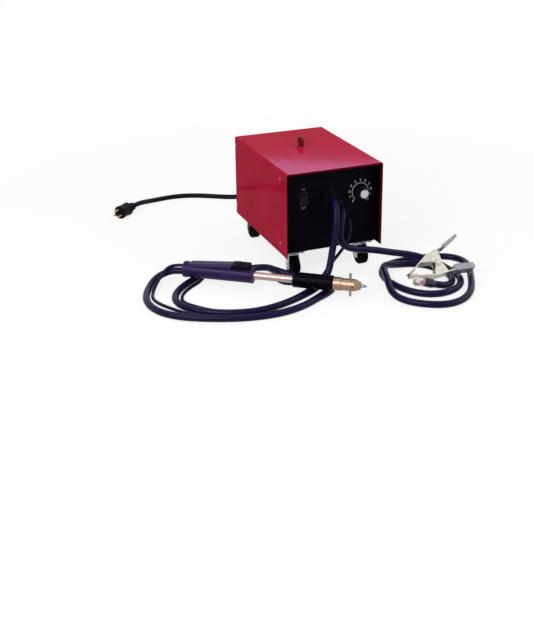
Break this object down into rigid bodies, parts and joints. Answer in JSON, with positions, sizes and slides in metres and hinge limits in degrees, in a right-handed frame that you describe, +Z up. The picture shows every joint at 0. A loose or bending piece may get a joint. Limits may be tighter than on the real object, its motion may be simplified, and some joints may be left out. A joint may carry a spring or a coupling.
{
  "type": "dent pulling welder",
  "caption": "Wheeled red cabinet welder for pulling car body dents, with a slide-hammer gun and an earth clamp on heavy cables and a coiled power cord.",
  "frame": {"origin": "on the floor under the middle of the cabinet", "axes": "+Z up; the control panel faces -Y; +X to the right of someone who faces the panel"},
  "size_m": [0.8184, 0.9974, 0.3005],
  "materials": {
    "cabinet_red": "gloss enamel",
    "panel_black": "satin",
    "pan_grey": "satin",
    "zinc": "zinc plated",
    "fork_black": "black coating",
    "hammer_black": "blackened steel",
    "wheel_black": "matte",
    "control_black": "matte",
    "pot_metal": "plated",
    "core_steel": "varnished laminations",
    "copper": "bare copper",
    "board_green": "solder mask",
    "terminal_cream": "matte",
    "gun_black": "satin",
    "button_black": "matte",
    "rod_copper": "bare copper",
    "chuck_brass": "turned",
    "tool_steel": "ground",
    "clamp_plate": "plated",
    "grip_grey": "vinyl dip",
    "cable_black": "matte",
    "cord_black": "matte"
  },
  "bodies": {
    "machine": {"cabinet_cover": "cabinet_red", "lifting_eye": "cabinet_red", "front_panel": "panel_black", "rear_panel": "panel_black", "base_pan": "pan_grey", "core_frame": "pan_grey", "cabinet_screws": "zinc", "front_caster_plates": "zinc", "frame_bolts": "zinc", "lug_bolt": "zinc", "clamp_pivot": "zinc", "rear_caster_forks": "fork_black", "power_switch_body": "control_black", "gun_cable_gland": "control_black", "ground_cable_gland": "control_black", "control_cable_gland": "control_black", "power_cord_gland": "control_black", "primary_contactor": "control_black", "trigger_switch": "control_black", "timer_pot": "pot_metal", "transformer_core": "core_steel", "primary_winding": "copper", "secondary_winding": "copper", "gun_busbar": "copper", "ground_busbar": "copper", "clamp_lower_pad": "copper", "ground_lug": "copper", "timer_board": "board_green", "terminal_block": "terminal_cream", "gun_handle": "gun_black", "gun_rear_cap": "gun_black", "switch_housing": "gun_black", "gun_rod": "rod_copper", "clamp_spring": "tool_steel", "clamp_lower_arm": "clamp_plate", "clamp_lower_grip": "grip_grey", "gun_cable": "cable_black", "control_cable": "cable_black", "ground_cable": "cable_black", "power_cord": "cord_black", "power_cord_coil": "cord_black", "power_cord_tail": "cord_black", "cord_tie": "cord_black", "power_plug": "cord_black"},
    "front_left_caster": {"front_left_fork": "zinc"},
    "front_right_caster": {"front_right_fork": "zinc"},
    "front_left_wheel": {"front_left_wheel": "wheel_black"},
    "front_right_wheel": {"front_right_wheel": "wheel_black"},
    "rear_left_wheel": {"rear_left_wheel": "wheel_black"},
    "rear_right_wheel": {"rear_right_wheel": "wheel_black"},
    "rocker": {"power_rocker": "control_black"},
    "knob": {"timer_knob": "control_black"},
    "trigger": {"trigger_button": "button_black"},
    "hammer": {"slide_hammer": "hammer_black"},
    "chuck": {"chuck": "chuck_brass", "chuck_bar": "tool_steel", "electrode_tip": "tool_steel"},
    "clamp_arm": {"clamp_upper_arm": "clamp_plate", "clamp_upper_pad": "copper", "clamp_upper_grip": "grip_grey"}
  },
  "joints": [
    {"name": "front_left_swivel", "type": "hinge", "parent": "machine", "child": "front_left_caster", "pos_m": [-0.093, -0.124, 0], "axis": [0, 0, 1], "continuous": true},
    {"name": "front_left_wheel_spin", "type": "hinge", "parent": "front_left_caster", "child": "front_left_wheel", "pos_m": [-0.093, -0.136, 0.025], "axis": [1, 0, 0], "continuous": true},
    {"name": "rear_left_wheel_spin", "type": "hinge", "parent": "machine", "child": "rear_left_wheel", "pos_m": [-0.093, 0.141, 0.025], "axis": [1, 0, 0], "continuous": true},
    {"name": "front_right_swivel", "type": "hinge", "parent": "machine", "child": "front_right_caster", "pos_m": [0.093, -0.124, 0], "axis": [0, 0, 1], "continuous": true},
    {"name": "front_right_wheel_spin", "type": "hinge", "parent": "front_right_caster", "child": "front_right_wheel", "pos_m": [0.093, -0.136, 0.025], "axis": [1, 0, 0], "continuous": true},
    {"name": "rear_right_wheel_spin", "type": "hinge", "parent": "machine", "child": "rear_right_wheel", "pos_m": [0.093, 0.141, 0.025], "axis": [1, 0, 0], "continuous": true},
    {"name": "power_rocker_tilt", "type": "hinge", "parent": "machine", "child": "rocker", "pos_m": [-0.07, -0.145, 0.199], "axis": [-1, 0, 0], "range_deg": [0, 24]},
    {"name": "timer_knob_turn", "type": "hinge", "parent": "machine", "child": "knob", "pos_m": [0.082, -0.148, 0.198], "axis": [0, -1, 0], "range_deg": [-140, 140]},
    {"name": "trigger_press", "type": "slide", "parent": "machine", "child": "trigger", "axis": [0, 0, -1], "range_m": [0, 0.0025], "stiffness_N_per_m": 600, "springref_m": -0.002},
    {"name": "hammer_slide", "type": "slide", "parent": "machine", "child": "hammer", "axis": [-0.8007, 0.599, 0], "range_m": [0, 0.0973]},
    {"name": "chuck_turn", "type": "hinge", "parent": "machine", "child": "chuck", "pos_m": [-0.04322, -0.31203, 0.0366], "axis": [0.8007, -0.599, 0], "range_deg": [0, 180]},
    {"name": "clamp_open", "type": "hinge", "parent": "machine", "child": "clamp_arm", "pos_m": [0.20698, -0.3217, 0.04971], "axis": [0.02, 0.6931, -0.7206], "range_deg": [0, 24], "stiffness_Nm_per_rad": 6, "springref_deg": -34.38, "deforming": ["clamp_spring"]}
  ]
}
